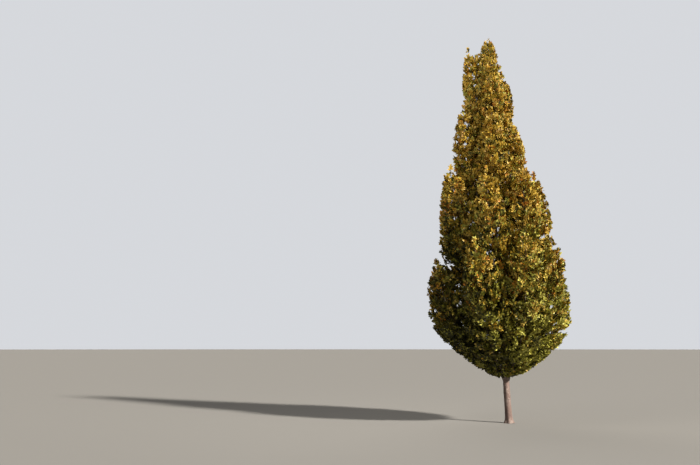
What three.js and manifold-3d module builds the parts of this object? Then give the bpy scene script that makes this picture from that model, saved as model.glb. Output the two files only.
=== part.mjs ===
// A columnar beech about 8.7 m tall, grown on its own on a lawn: one straight trunk to a thin tip,
// steep boughs in four rings round it, and a flame-shaped mass of foliage on the end of each bough.
// Millimetres, +Z up. The origin is the middle of the flat cut under the trunk, at ground level.
// Seen from the front the camera looks along +Y, with +X to the right. The tree leans a little to -X.
import * as THREE from "three";
import { mergeVertices } from "three/addons/utils/BufferGeometryUtils.js";
import Module from "manifold-3d";

const wasm = await Module();
wasm.setup();

const DEGREE = Math.PI / 180;
const CLEARANCE = 0.3;
const MERGE_DISTANCE = 1e-3;

// The trunk: radius above the root flare, the flare itself, the lobes of the roots' tops, and the lean.
const TRUNK = {
  height: 7350,
  footRadius: 77,
  tipRadius: 9,
  taperPower: 1.25,
  flare: 46,
  flareHeight: 62,
  lobes: 5,
  lobeShare: 0.13,
  lobeHeight: 120,
  lobeTurn: 0.7,
  lean: 0.03,
  bow: 26,
  sway: 10,
  clearance: 0.33,
  sides: 14,
  rings: 15,
};

// The underside of the crown is a bowl round the trunk.
const BOWL = { bottom: 935, rise: 560, power: 1.5 };
// A mass is a flame: its radius swells from the foot and closes towards the tip.
const FLAME = {
  foot: 0.7, swell: 1.75, tipPower: 0.7, tipRadius: 72, thinnest: 0.94, stoutest: 1.06, axisSteps: 7,
};

// One ring of boughs each. Heights are above the ground and reaches are from the trunk's centre line.
// A bough leaves the trunk between forkLow and forkHigh and ends at the base, where its mass starts.
// A mass bulges past its elbow and ends at its tip. The skew makes the tips on the +X side
// higher, and the push makes those on the -X side reach further out.
const RINGS = [
  {
    name: "low", count: 8, turn: 22, forkLow: 820, forkHigh: 1030, forkRadius: 24, endRadius: 13,
    baseReach: 200, baseHeight: 1120, elbowReach: 1140, elbowHeight: 1530, tipReach: 1340, tipHeight: 3800,
    radius: 520, skew: 200, push: 0.09, stray: 340, baseStray: 85, twigs: 8, spray: 490,
  },
  {
    name: "middle", count: 7, turn: 0, forkLow: 1560, forkHigh: 2260, forkRadius: 22, endRadius: 12,
    baseReach: 380, baseHeight: 2760, elbowReach: 960, elbowHeight: 3560, tipReach: 970, tipHeight: 5450,
    radius: 450, skew: -110, push: 0.1, stray: 300, baseStray: 75, twigs: 7, spray: 455,
  },
  {
    name: "upper", count: 5, turn: 128, forkLow: 3250, forkHigh: 3850, forkRadius: 18, endRadius: 11,
    baseReach: 270, baseHeight: 4560, elbowReach: 500, elbowHeight: 5250, tipReach: 540, tipHeight: 6800,
    radius: 390, skew: -60, push: 0.15, stray: 380, baseStray: 95, twigs: 7, spray: 385,
  },
  {
    name: "top", count: 4, turn: 8, forkLow: 5050, forkHigh: 5600, forkRadius: 14, endRadius: 9,
    baseReach: 170, baseHeight: 6220, elbowReach: 285, elbowHeight: 6800, tipReach: 375, tipHeight: 8080,
    radius: 295, skew: -390, push: 0.12, stray: 100, baseStray: 25, twigs: 6, spray: 320,
  },
];
// The mass on the trunk's own tip.
const LEADER = { name: "leader", tipShift: 50, tipHeight: 8655, radius: 240, twigs: 6, spray: 270 };

// A bough leaves the trunk at a slant and then turns up, to run on into its mass's stem.
// Neighbours leave it at unlike heights, because the order of the forks skips round the ring.
const BOUGH = {
  leaveReach: 0.55, leaveRise: 0.95, turn: 0.28, strayTurn: 14, skip: 3, sides: 5, steps: 4,
};

// Stems and twigs are three-sided, and their ends open out into a spray, which is one large leaf
// blade that stands for many leaves. Angles are in degrees, and most lengths are shares.
const STEM = { steps: 5, end: 0.97, tipRadius: 7 };
const TWIG = {
  radiusShare: 0.45, leastRadius: 3.5, endShare: 0.6, first: 0.02, last: 0.93, fork: 137.5, spread: 260,
  strayTurn: 29, riseLow: 4, riseHigh: 50, strayRise: 16, reachShare: 0.62, leastReach: 90, longest: 640,
};
const SPRAY = {
  width: 0.85, widest: 0.5, thick: 0.03, cup: 0.07, least: 0.6, shrink: 0.9, topShare: 0.72,
  places: [0.98, 0.74, 0.5, 0.3], shortest: 0.85, longest: 1.1, fan: 98, strayFan: 30, lift: 1.4,
  roll: 90, apart: 0.32, bends: [0, 0.35, 0.7, 1],
};
// The three sprays at the tip of a stem.
const TIP_SPRAY = { size: 0.7, least: 0.4, roll: 46, spread: 0.9, place: 0.94, stagger: 0.03 };

// How closely a piece is tested, and how far it stays from its neighbours' space and from limbs.
const TEST = {
  trunkSteps: 15, boughSteps: 8, limbStep: 20, pieceStep: 15, reachStep: 20,
  spaceMargin: 0.045, limbMargin: 3,
};

// A small generator of random numbers from 0 to 1, the same for the same seed.
function randomFrom(seed) {
  let state = seed >>> 0;
  return () => {
    state = (Math.imul(state, 1664525) + 1013904223) >>> 0;
    return state / 4294967296;
  };
}

function mix(from, to, share) {
  return from + (to - from) * share;
}

// The middle of the trunk at a height. It goes on past the tip, for the mass on it.
function trunkCentre(height) {
  const share = Math.min(height / TRUNK.height, 1);
  return new THREE.Vector3(
    -TRUNK.lean * height - TRUNK.bow * Math.sin(Math.PI * share),
    TRUNK.sway * Math.sin(2 * Math.PI * share),
    height,
  );
}

function trunkRadius(height) {
  const share = Math.max(1 - height / TRUNK.height, 0);
  const plain = TRUNK.tipRadius + (TRUNK.footRadius - TRUNK.tipRadius) * share ** TRUNK.taperPower;
  return plain + TRUNK.flare * Math.exp(-height / TRUNK.flareHeight);
}

// A point at a bearing and a reach from the trunk's centre line, at a height.
function roundTrunk(bearing, reach, height) {
  const centre = trunkCentre(height);
  return centre.add(new THREE.Vector3(reach * Math.cos(bearing), reach * Math.sin(bearing), 0));
}

// The plan of the crown: each entry has its bough's curve, its mass's curve and its widths.
function planRing(ring, firstSeed) {
  return Array.from({ length: ring.count }, (_, i) => {
    const random = randomFrom(firstSeed + i);
    random();
    const bearing = (ring.turn + (360 * i) / ring.count + (random() - 0.5) * BOUGH.strayTurn) * DEGREE;
    const forkShare = ((i * BOUGH.skip) % ring.count) / (ring.count - 1);
    const fork = mix(ring.forkLow, ring.forkHigh, forkShare);
    const side = Math.cos(bearing);
    const push = 1 - ring.push * side;
    const tipHeight = ring.tipHeight + ring.skew * side + (random() - 0.5) * ring.stray;
    const rise = (random() - 0.5) * ring.baseStray;
    const base = roundTrunk(bearing, ring.baseReach, ring.baseHeight + rise);
    const elbow = roundTrunk(bearing, ring.elbowReach * push, ring.elbowHeight + rise);
    const tip = roundTrunk(bearing, ring.tipReach * push, tipHeight);
    const start = trunkCentre(fork);
    const leave = Math.min(BOUGH.leaveRise * ring.baseReach, 0.5 * (base.z - fork));
    const bend = roundTrunk(bearing, BOUGH.leaveReach * ring.baseReach, fork + leave);
    const away = elbow.clone().sub(base).normalize();
    const turn = base.clone().addScaledVector(away, -BOUGH.turn * base.distanceTo(start));
    return {
      name: ring.name + "_" + (i + 1),
      bough: new THREE.CubicBezierCurve3(start, bend, turn, base),
      forkRadius: ring.forkRadius,
      endRadius: ring.endRadius,
      stem: new THREE.QuadraticBezierCurve3(base, elbow, tip),
      radius: ring.radius * mix(FLAME.thinnest, FLAME.stoutest, random()),
      twigs: ring.twigs,
      spray: ring.spray,
      seed: firstSeed + i,
    };
  });
}

function planLeader(seed) {
  const base = trunkCentre(TRUNK.height);
  const tip = trunkCentre(LEADER.tipHeight);
  tip.x += LEADER.tipShift;
  const elbow = base.clone().lerp(tip, 0.5);
  return {
    name: LEADER.name,
    endRadius: TRUNK.tipRadius,
    stem: new THREE.QuadraticBezierCurve3(base, elbow, tip),
    radius: LEADER.radius,
    twigs: LEADER.twigs,
    spray: LEADER.spray,
    seed,
  };
}

const plumes = [...RINGS.flatMap((ring, i) => planRing(ring, 100 * (i + 1))), planLeader(500)];
for (const plume of plumes) plume.axis = plume.stem.getPoints(FLAME.axisSteps);

// A tapering limb: a cylinder whose rings are moved onto a curve. Its end caps are flat.
function limb(pointAt, tangentAt, radiusAt, sides, steps) {
  const shape = new THREE.CylinderGeometry(1, 1, 1, sides, steps);
  const guide = new THREE.Vector3(1, 0, 0);
  const places = shape.getAttribute("position");
  for (let i = 0; i < places.count; i++) {
    const share = places.getY(i) + 0.5;
    const along = tangentAt(share);
    const first = guide.clone().addScaledVector(along, -guide.dot(along)).normalize();
    const second = first.clone().cross(along);
    const turn = Math.atan2(places.getZ(i), places.getX(i));
    const radius = Math.hypot(places.getX(i), places.getZ(i)) > 0.5 ? radiusAt(share, turn) : 0;
    const point = pointAt(share).addScaledVector(first, radius * Math.cos(turn));
    point.addScaledVector(second, radius * Math.sin(turn));
    places.setXYZ(i, point.x, point.y, point.z);
  }
  return shape;
}

// A geometry as a solid, solids joined in one, and a solid as a geometry again.
function solidOf(geometry) {
  const bare = geometry.clone();
  bare.deleteAttribute("normal");
  bare.deleteAttribute("uv");
  const merged = mergeVertices(bare, MERGE_DISTANCE);
  return new wasm.Manifold(
    new wasm.Mesh({
      numProp: 3,
      vertProperties: merged.attributes.position.array,
      triVerts: new Uint32Array(merged.index.array),
    }),
  );
}

// Joins solids in one body. A loose scrap and the skin of a sealed hollow are dropped.
function joined(solids) {
  const whole = wasm.Manifold.union(solids);
  const bodies = whole.decompose();
  bodies.sort((a, b) => b.volume() - a.volume());
  return bodies[0];
}

function geometryOf(solid) {
  const mesh = solid.getMesh();
  const places = new Float32Array(mesh.numVert * 3);
  for (let i = 0; i < mesh.numVert; i++) {
    places.set(mesh.vertProperties.subarray(i * mesh.numProp, i * mesh.numProp + 3), i * 3);
  }
  const geometry = new THREE.BufferGeometry();
  geometry.setAttribute("position", new THREE.BufferAttribute(places, 3));
  geometry.setIndex(new THREE.BufferAttribute(mesh.triVerts, 1));
  return geometry.toNonIndexed();
}

// The trunk, with rings that close up towards the root flare. Grown makes it a little thicker.
function trunkShape(grown) {
  const heightAt = (share) => TRUNK.height * share ** 2;
  return limb(
    (share) => trunkCentre(heightAt(share)),
    () => new THREE.Vector3(0, 0, 1),
    (share, turn) => {
      const height = heightAt(share);
      const swell = TRUNK.lobeShare * Math.exp(-height / TRUNK.lobeHeight);
      return trunkRadius(height) * (1 + swell * Math.cos(TRUNK.lobes * turn + TRUNK.lobeTurn)) + grown;
    },
    TRUNK.sides,
    TRUNK.rings,
  );
}

// A bough starts at the trunk's middle and is cut back to clear the trunk's skin.
const trunkSolid = solidOf(trunkShape(0));
const trunkGrown = solidOf(trunkShape(TRUNK.clearance));

function boughSolid(plume) {
  const shape = limb(
    (share) => plume.bough.getPoint(share),
    (share) => plume.bough.getTangent(share),
    (share) => mix(plume.forkRadius, plume.endRadius, share),
    BOUGH.sides,
    BOUGH.steps,
  );
  return joined([solidOf(shape).subtract(trunkGrown)]);
}

// How far a point is from a line of points, and where along it the nearest point lies.
const spare = new THREE.Vector3();
const gap = new THREE.Vector3();

function nearestOn(line, point) {
  let best = { distance: Infinity, share: 0 };
  for (let i = 0; i + 1 < line.length; i++) {
    spare.subVectors(line[i + 1], line[i]);
    gap.subVectors(point, line[i]);
    const along = THREE.MathUtils.clamp(gap.dot(spare) / spare.lengthSq(), 0, 1);
    const distance = gap.addScaledVector(spare, -along).length();
    if (distance < best.distance) best = { distance, share: (i + along) / (line.length - 1) };
  }
  return best;
}

// The radius of a mass's flame round its axis, at a share of the way up.
function flameRadius(plume, share) {
  const shape = (1 - share) ** FLAME.tipPower * (FLAME.foot + FLAME.swell * share);
  return Math.max(plume.radius * shape, FLAME.tipRadius);
}

// A point's distance from a mass's axis, as a share of the flame's radius there.
function depthIn(plume, point) {
  const near = nearestOn(plume.axis, point);
  return near.distance / flameRadius(plume, near.share);
}

// Each mass keeps to its own space: inside its flame, and nearer to its axis than to any other.
function inSpace(plume, point) {
  const middle = trunkCentre(point.z);
  const reach = Math.hypot(point.x - middle.x, point.y - middle.y);
  if (point.z < BOWL.bottom + BOWL.rise * (reach / 1000) ** BOWL.power) return false;
  const own = depthIn(plume, point);
  if (own > 1) return false;
  return plumes.every((other) => other === plume || depthIn(other, point) > own + TEST.spaceMargin);
}

// The trunk and boughs as lines with a radius, for keeping twigs and sprays off them.
const trunkShares = Array.from({ length: TEST.trunkSteps + 1 }, (_, i) => i / TEST.trunkSteps);
const limbLines = [
  {
    line: trunkShares.map((share) => trunkCentre(TRUNK.height * share)),
    radiusAt: (share) => trunkRadius(TRUNK.height * share),
  },
  ...plumes
    .filter((plume) => plume.bough)
    .map((plume) => ({
      line: plume.bough.getPoints(TEST.boughSteps),
      radiusAt: (share) => mix(plume.forkRadius, plume.endRadius, share),
    })),
];

// The same limbs as points close together.
const limbPoints = limbLines.flatMap(({ line, radiusAt }) => {
  const curve = new THREE.CurvePath();
  for (let i = 0; i + 1 < line.length; i++) curve.add(new THREE.LineCurve3(line[i], line[i + 1]));
  const count = Math.ceil(curve.getLength() / TEST.limbStep);
  const places = Array.from({ length: count + 1 }, (_, i) => i / count);
  return places.map((share) => ({ point: curve.getPoint(share), radius: radiusAt(share) }));
});

// True if a straight piece of a given half width stays off every limb.
function clearOfLimbs(start, end, halfWidth) {
  const steps = Math.ceil(start.distanceTo(end) / TEST.pieceStep);
  for (const each of limbLines) {
    for (let i = 0; i <= steps; i++) {
      const near = nearestOn(each.line, start.clone().lerp(end, i / steps));
      if (near.distance < each.radiusAt(near.share) + halfWidth + TEST.limbMargin) return false;
    }
  }
  return true;
}

// How far a straight line can go before it leaves the mass's space.
function reachIn(plume, start, direction, longest) {
  for (let reach = TEST.reachStep; reach <= longest; reach += TEST.reachStep) {
    if (!inSpace(plume, start.clone().addScaledVector(direction, reach))) return reach - TEST.reachStep;
  }
  return longest;
}

// A spray is a thin pointed blade of eight faces: a rim of four corners, and a crown on each side.
function sprayCorners(root, direction, face, length) {
  const across = direction.clone().cross(face).normalize();
  const half = 0.5 * length * SPRAY.width;
  const waist = root.clone().addScaledVector(direction, length * SPRAY.widest);
  return {
    root,
    tip: root.clone().addScaledVector(direction, length),
    left: waist.clone().addScaledVector(across, -half),
    right: waist.clone().addScaledVector(across, half),
    front: waist.clone().addScaledVector(face, length * (SPRAY.cup + SPRAY.thick / 2)),
    back: waist.clone().addScaledVector(face, length * (SPRAY.cup - SPRAY.thick / 2)),
  };
}

// How far a spray's corners are from its middle, and its rim and midrib as straight lines.
function spanOf({ root, tip, front }) {
  return Math.max(front.distanceTo(root), front.distanceTo(tip));
}

function rimOf({ root, tip, left, right }) {
  return [[root, right], [right, tip], [tip, left], [left, root]];
}

function edgesOf(corners) {
  return [...rimOf(corners), [corners.root, corners.tip]];
}

function shapeOf(points) {
  const places = new Float32Array(points.flatMap((point) => point.toArray()));
  const geometry = new THREE.BufferGeometry();
  geometry.setAttribute("position", new THREE.BufferAttribute(places, 3));
  return geometry;
}

function sprayShape(corners) {
  const { front, back } = corners;
  return shapeOf(rimOf(corners).flatMap(([a, b]) => [front, a, b, back, b, a]));
}

// A three-sided limb along some centres, whose last ring opens out into a spray. Its first ring is
// square to the start direction.
function leafedLimb(centres, radii, startDirection, corners) {
  const { tip, left, right, front, back } = corners;
  const line = [...centres, tip];
  const rings = centres.map((centre, i) => {
    const along = startDirection.clone();
    if (i > 0) {
      along.subVectors(centre, line[i - 1]).normalize();
      along.add(line[i + 1].clone().sub(centre).normalize()).normalize();
    }
    const side = left.clone().sub(right);
    side.addScaledVector(along, -side.dot(along)).normalize();
    const face = along.clone().cross(side);
    if (face.dot(front.clone().sub(back)) < 0) face.negate();
    return [90, 210, 330].map((angle) =>
      centre
        .clone()
        .addScaledVector(face, radii[i] * Math.sin(angle * DEGREE))
        .addScaledVector(side, -radii[i] * Math.cos(angle * DEGREE)),
    );
  });
  const points = [...rings[0]];
  for (let i = 0; i + 1 < rings.length; i++) {
    for (const [a, b] of [[0, 1], [1, 2], [2, 0]]) {
      points.push(rings[i + 1][a], rings[i + 1][b], rings[i][b], rings[i + 1][a], rings[i][b], rings[i][a]);
    }
  }
  const [a, b, c] = rings[rings.length - 1];
  points.push(front, a, right, front, left, a, right, a, c, a, left, b);
  points.push(back, right, c, back, b, left, b, back, c);
  points.push(front, right, tip, front, tip, left, back, tip, right, back, left, tip);
  return shapeOf(points);
}

// True if a spray's faces stay off every limb.
const nearestPoint = new THREE.Vector3();

function faceClear(corners) {
  const span = spanOf(corners);
  for (const { point, radius } of limbPoints) {
    const least = radius + TEST.limbMargin;
    if (point.distanceTo(corners.front) > span + least) continue;
    for (const [a, b] of rimOf(corners)) {
      new THREE.Triangle(corners.front, a, b).closestPointToPoint(point, nearestPoint);
      if (nearestPoint.distanceTo(point) < least) return false;
    }
  }
  return true;
}

function sprayFits(plume, corners) {
  const { tip, left, right, front } = corners;
  const tests = [tip, left, right, front, ...rimOf(corners).map(([a, b]) => a.clone().lerp(b, 0.5))];
  return tests.every((point) => inSpace(plume, point)) && faceClear(corners);
}

// The largest spray that fits at a place. It may bend up towards the stem's own direction, and it
// is tried smaller and smaller, down to the least size.
function fittedSpray(plume, root, pointing, along, radial, roll, length, least, sprays, pieces) {
  for (let size = length; size >= least; size *= SPRAY.shrink) {
    for (const bend of SPRAY.bends) {
      const direction = pointing.clone().lerp(along, bend).normalize();
      const face = radial.clone().addScaledVector(direction, -radial.dot(direction)).normalize();
      face.applyAxisAngle(direction, roll);
      const corners = sprayCorners(root, direction, face, size);
      if (sprayFits(plume, corners) && standsApart(plume, corners, sprays, pieces)) return corners;
    }
  }
  return null;
}

// True if a straight piece passes through a spray's faces.
const sight = new THREE.Ray();

function passesThrough(start, end, corners) {
  const length = start.distanceTo(end);
  sight.set(start, sight.direction.subVectors(end, start).normalize());
  return rimOf(corners).some(([a, b]) => {
    const met = sight.intersectTriangle(corners.front, a, b, false, nearestPoint);
    return met && nearestPoint.distanceTo(start) < length;
  });
}

// True if a spray stands off the mass's other sprays, and doesn't cross one of them or a twig.
function standsApart(plume, corners, sprays, pieces) {
  for (const other of sprays) {
    const distance = other.front.distanceTo(corners.front);
    if (distance < plume.spray * SPRAY.apart) return false;
    if (distance > spanOf(corners) + spanOf(other)) continue;
    if (edgesOf(corners).some(([a, b]) => passesThrough(a, b, other))) return false;
    if (edgesOf(other).some(([a, b]) => passesThrough(a, b, corners))) return false;
  }
  return !pieces.some(([a, b]) => passesThrough(a, b, corners));
}

// The direction away from the trunk at a point, square to a stem.
function outwardAt(plume, point, along) {
  const outward = plume.bough ? point.clone().sub(trunkCentre(point.z)).setZ(0) : new THREE.Vector3(1, 0, 0);
  return outward.addScaledVector(along, -outward.dot(along)).normalize();
}

// Twigs branch off the stem by the golden angle, on the side away from the trunk. Each goes out as
// far as its space lets it, and carries sprays that turn up along the flame's skin.
function growMass(plume) {
  const random = randomFrom(plume.seed * 7 + 1);
  const { stem } = plume;
  const stemRadius = (share) => mix(plume.endRadius, STEM.tipRadius, share);
  const firstShare = CLEARANCE / (2 * stem.v0.distanceTo(stem.v1));
  const curveAt = (share) => mix(firstShare, STEM.end, share);
  const shares = Array.from({ length: STEM.steps + 1 }, (_, i) => i / STEM.steps);
  const rings = shares.map((share) => stem.getPoint(curveAt(share)));
  const pieces = rings.slice(1).map((point, i) => [rings[i], point]);
  const pointOn = (share) => {
    const piece = Math.min(Math.floor(share * STEM.steps), STEM.steps - 1);
    return rings[piece].clone().lerp(rings[piece + 1], share * STEM.steps - piece);
  };

  // The stem opens out into a spray at its tip, and has one more on each side of it.
  const top = stem.getTangent(1);
  const end = rings[STEM.steps];
  const facing = outwardAt(plume, end, top);
  const tipSize = plume.spray * TIP_SPRAY.size;
  const tipLeast = tipSize * TIP_SPRAY.least;
  const tipRoll = TIP_SPRAY.roll * DEGREE;
  const fitAtTip = (root, pointing, sprays) =>
    fittedSpray(plume, root, pointing, pointing, facing, tipRoll, tipSize, tipLeast, sprays, []);
  const last = fitAtTip(end, top, []);
  const sprays = [last];
  const solids = [leafedLimb(rings, shares.map(stemRadius), stem.getTangent(0), last)];
  for (const side of [-1, 1]) {
    const across = top.clone().cross(facing).multiplyScalar(side * TIP_SPRAY.spread);
    const root = pointOn(TIP_SPRAY.place - TIP_SPRAY.stagger * side);
    const beside = fitAtTip(root, across.add(top).normalize(), sprays);
    if (!beside) continue;
    sprays.push(beside);
    solids.push(sprayShape(beside));
  }

  for (let i = 0; i < plume.twigs; i++) {
    const share = mix(TWIG.first, TWIG.last, (i + 0.25 + 0.5 * random()) / plume.twigs);
    const start = pointOn(share);
    const along = stem.getTangent(curveAt(share));
    const spread = plume.bough ? TWIG.spread : 360;
    const bearing = (((i * TWIG.fork) / 360) % 1 - 0.5) * spread + (random() - 0.5) * TWIG.strayTurn;
    const radial = outwardAt(plume, start, along).applyAxisAngle(along, bearing * DEGREE);
    const rise = (mix(TWIG.riseLow, TWIG.riseHigh, share) + (random() - 0.5) * TWIG.strayRise) * DEGREE;
    const direction = radial.clone().multiplyScalar(Math.cos(rise)).addScaledVector(along, Math.sin(rise));
    const draws = SPRAY.places.map(() => [random(), random()]);
    const length = reachIn(plume, start, direction, TWIG.longest) * TWIG.reachShare;
    const reached = start.clone().addScaledVector(direction, length);
    const radius = Math.max(stemRadius(share) * TWIG.radiusShare, TWIG.leastRadius);
    if (length < TWIG.leastReach || !clearOfLimbs(start, reached, radius)) continue;
    if (sprays.some((other) => passesThrough(start, reached, other))) continue;
    const whole = plume.spray * mix(1, SPRAY.topShare, share ** 2);
    const upward = along.clone().multiplyScalar(SPRAY.lift).addScaledVector(direction, 1 - 0.5 * SPRAY.lift);
    const own = [];
    SPRAY.places.forEach((place, k) => {
      const side = k === 0 ? 0 : k % 2 === 0 ? 1 : -1;
      const turn = (side * SPRAY.fan + (draws[k][0] - 0.5) * SPRAY.strayFan) * DEGREE;
      const pointing = upward.clone().applyAxisAngle(radial, turn).normalize();
      const roll = (draws[k][1] - 0.5) * SPRAY.roll * DEGREE;
      const longest = whole * mix(SPRAY.shortest, SPRAY.longest, draws[k][0]);
      const root = start.clone().lerp(reached, place);
      const least = whole * SPRAY.least;
      const all = [...sprays, ...own];
      const corners = fittedSpray(plume, root, pointing, along, radial, roll, longest, least, all, pieces);
      if (corners) own.push(corners);
    });
    if (own.length === 0) continue;
    // The outermost spray ends the twig, and the others are rooted in its middle.
    const outermost = own[0];
    const radii = [radius, radius * TWIG.endShare];
    solids.push(leafedLimb([start, outermost.root], radii, direction, outermost));
    solids.push(...own.slice(1).map(sprayShape));
    pieces.push([start, outermost.root]);
    sprays.push(...own);
  }
  return joined(solids.map(solidOf));
}

// Colours, from the sunlit side of the tree.
const bark = new THREE.MeshStandardMaterial({ color: 0x8d7f76, roughness: 0.9, metalness: 0 });
const leafTints = { low: 0x7d8230, middle: 0x8c8230, upper: 0x977c2c, top: 0x9c7729, leader: 0x8a772b };

function leafMaterial(name) {
  const tint = leafTints[name.split("_")[0]];
  return new THREE.MeshStandardMaterial({ color: tint, roughness: 0.6, metalness: 0, flatShading: true });
}

const tree = new THREE.Group();

function place(name, solid, material) {
  const mesh = new THREE.Mesh(geometryOf(solid), material);
  mesh.name = name;
  tree.add(mesh);
}

place("trunk", trunkSolid, bark);
for (const plume of plumes) {
  if (plume.bough) place("bough_" + plume.name, boughSolid(plume), bark);
  place("foliage_" + plume.name, growMass(plume), leafMaterial(plume.name));
}

export default tree;
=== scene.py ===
# A columnar beech about 8.7 m tall, in early autumn leaf: bark, twigs and leaves, grown on the
# frame's trunk, boughs and masses of foliage. Metres, +Z up, the trunk's foot at the origin.
import math

import bmesh
import bpy
import numpy as np
from mathutils import Matrix, Vector


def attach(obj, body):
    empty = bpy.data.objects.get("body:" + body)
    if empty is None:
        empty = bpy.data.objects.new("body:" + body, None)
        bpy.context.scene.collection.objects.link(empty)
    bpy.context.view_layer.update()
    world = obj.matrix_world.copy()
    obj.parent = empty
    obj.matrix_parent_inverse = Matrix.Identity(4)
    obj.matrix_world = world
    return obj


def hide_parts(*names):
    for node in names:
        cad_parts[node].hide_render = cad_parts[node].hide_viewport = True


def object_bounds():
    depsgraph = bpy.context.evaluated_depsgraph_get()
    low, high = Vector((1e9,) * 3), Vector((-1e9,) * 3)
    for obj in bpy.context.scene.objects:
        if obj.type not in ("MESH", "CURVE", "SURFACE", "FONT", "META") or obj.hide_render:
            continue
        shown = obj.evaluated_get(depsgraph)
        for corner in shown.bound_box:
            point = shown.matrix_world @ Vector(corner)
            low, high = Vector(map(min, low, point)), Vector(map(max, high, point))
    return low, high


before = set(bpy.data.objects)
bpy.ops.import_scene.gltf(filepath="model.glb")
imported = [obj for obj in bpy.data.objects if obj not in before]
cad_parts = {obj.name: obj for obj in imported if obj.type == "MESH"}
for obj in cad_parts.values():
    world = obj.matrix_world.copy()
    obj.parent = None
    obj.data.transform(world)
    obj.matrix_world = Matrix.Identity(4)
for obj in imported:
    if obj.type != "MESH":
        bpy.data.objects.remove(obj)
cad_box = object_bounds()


# Trunk
# One straight stem of smooth pinkish grey bark, from a lobed root flare at the ground to a thin tip
# far up in the crown. It is drawn ring by ring from a circle, then lobed, fluted and wrinkled.
TRUNK_HEIGHT = 7.35
FOOT_RADIUS = 0.077
TIP_RADIUS = 0.009
TAPER_POWER = 1.25
FLARE = 0.046
FLARE_HEIGHT = 0.062
LEAN = 0.03
BOW = 0.026
SWAY = 0.01
ROOT_LOBES = 5
ROOT_LOBE_SHARE = 0.13
ROOT_LOBE_HEIGHT = 0.12
ROOT_LOBE_TURN = 0.7
FLUTES = 3
FLUTE_SHARE = 0.035
TRUNK_SIDES = 20
TRUNK_RINGS = 120
RING_CROWDING = 2.0
LEAST_TURN = 1e-5
FOOT_CUT = 0.002
# The scars of shed branches: a height, a bearing in degrees and a half height each.
SCARS = [
    (0.34, 250, 0.024),
    (0.53, 305, 0.03),
    (0.63, 165, 0.026),
    (0.71, 40, 0.03),
    (0.79, 268, 0.024),
]
SCAR_RISE = 0.004
SCAR_WIDTH = 1.4
SCAR_RIM = 0.9
SCAR_SPREAD = 0.3
SCAR_DENT = 0.5
SCAR_EDGE = 2.6


def mix(start, end, share):
    return start + (end - start) * share


def trunk_centre(height):
    """The middle of the trunk at a height. It goes on past the tip, for the mass on it."""
    share = min(height / TRUNK_HEIGHT, 1)
    sideways = -LEAN * height - BOW * math.sin(math.pi * share)
    return np.array([sideways, SWAY * math.sin(2 * math.pi * share), height])


def trunk_radius(height):
    share = max(1 - height / TRUNK_HEIGHT, 0)
    plain = mix(TIP_RADIUS, FOOT_RADIUS, share**TAPER_POWER)
    return plain + FLARE * math.exp(-height / FLARE_HEIGHT)


def deselect_all():
    bpy.ops.object.select_all(action="DESELECT")


def drawn_limb(name, centres, radii, sides):
    """A limb drawn from a circle along some centres, each ring square to the way it goes."""
    centres = [Vector(centre) for centre in centres]
    ways = [(after - before).normalized() for before, after in zip(centres, centres[1:])]
    ways = [ways[0]] + [(a + b).normalized() for a, b in zip(ways, ways[1:])] + [ways[-1]]
    deselect_all()
    tilt = ways[0].to_track_quat("Z", "Y").to_euler()
    bpy.ops.mesh.primitive_circle_add(
        vertices=sides, radius=radii[0], fill_type="NGON", location=centres[0], rotation=tilt
    )
    limb = bpy.context.object
    limb.name = name
    bpy.ops.object.transform_apply(location=True, rotation=True, scale=True)
    bpy.ops.object.mode_set(mode="EDIT")
    bpy.ops.mesh.select_all(action="SELECT")
    for i in range(1, len(centres)):
        step = centres[i] - centres[i - 1]
        bpy.ops.mesh.extrude_region_move(TRANSFORM_OT_translate={"value": step})
        turn = ways[i - 1].rotation_difference(ways[i])
        if turn.angle > LEAST_TURN:
            across = turn.axis.orthogonal().normalized()
            axes = Matrix((across, turn.axis.cross(across), turn.axis)).transposed()
            bpy.ops.transform.rotate(
                value=-turn.angle,
                orient_axis="Z",
                orient_type="GLOBAL",
                orient_matrix=axes,
                orient_matrix_type="GLOBAL",
                center_override=centres[i],
            )
        grow = radii[i] / radii[i - 1]
        bpy.ops.transform.resize(value=(grow, grow, grow), center_override=centres[i])
    bpy.ops.mesh.select_all(action="SELECT")
    bpy.ops.mesh.normals_make_consistent(inside=False)
    bpy.ops.object.mode_set(mode="OBJECT")
    return limb


def smoothed(piece, levels):
    """Rounds a piece off with a subdivision surface."""
    rounding = piece.modifiers.new("rounding", "SUBSURF")
    rounding.levels = levels
    rounding.render_levels = levels
    bpy.context.view_layer.objects.active = piece
    bpy.ops.object.modifier_apply(modifier=rounding.name)


def roughened(piece, lump_size, stretch, depth):
    """Raises lumps of bark on a piece. A stretch over 1 makes them longer up the limb."""
    lumps = bpy.data.textures.new("lumps", "CLOUDS")
    lumps.noise_scale = lump_size
    lumps.noise_depth = 2
    bpy.ops.object.empty_add()
    guide = bpy.context.object
    guide.scale = (1, 1, stretch)
    relief = piece.modifiers.new("relief", "DISPLACE")
    relief.texture = lumps
    relief.texture_coords = "OBJECT"
    relief.texture_coords_object = guide
    relief.strength = depth
    relief.mid_level = 0.5
    bpy.context.view_layer.update()
    bpy.context.view_layer.objects.active = piece
    bpy.ops.object.modifier_apply(modifier=relief.name)
    bpy.data.objects.remove(guide)
    bpy.data.textures.remove(lumps)


def from_centre(vertex):
    """The trunk's middle at a vertex's height, and the way and the bearing from there to it."""
    centre = Vector(trunk_centre(vertex.co.z))
    outward = vertex.co - centre
    return centre, outward, math.atan2(outward.y, outward.x)


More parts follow.
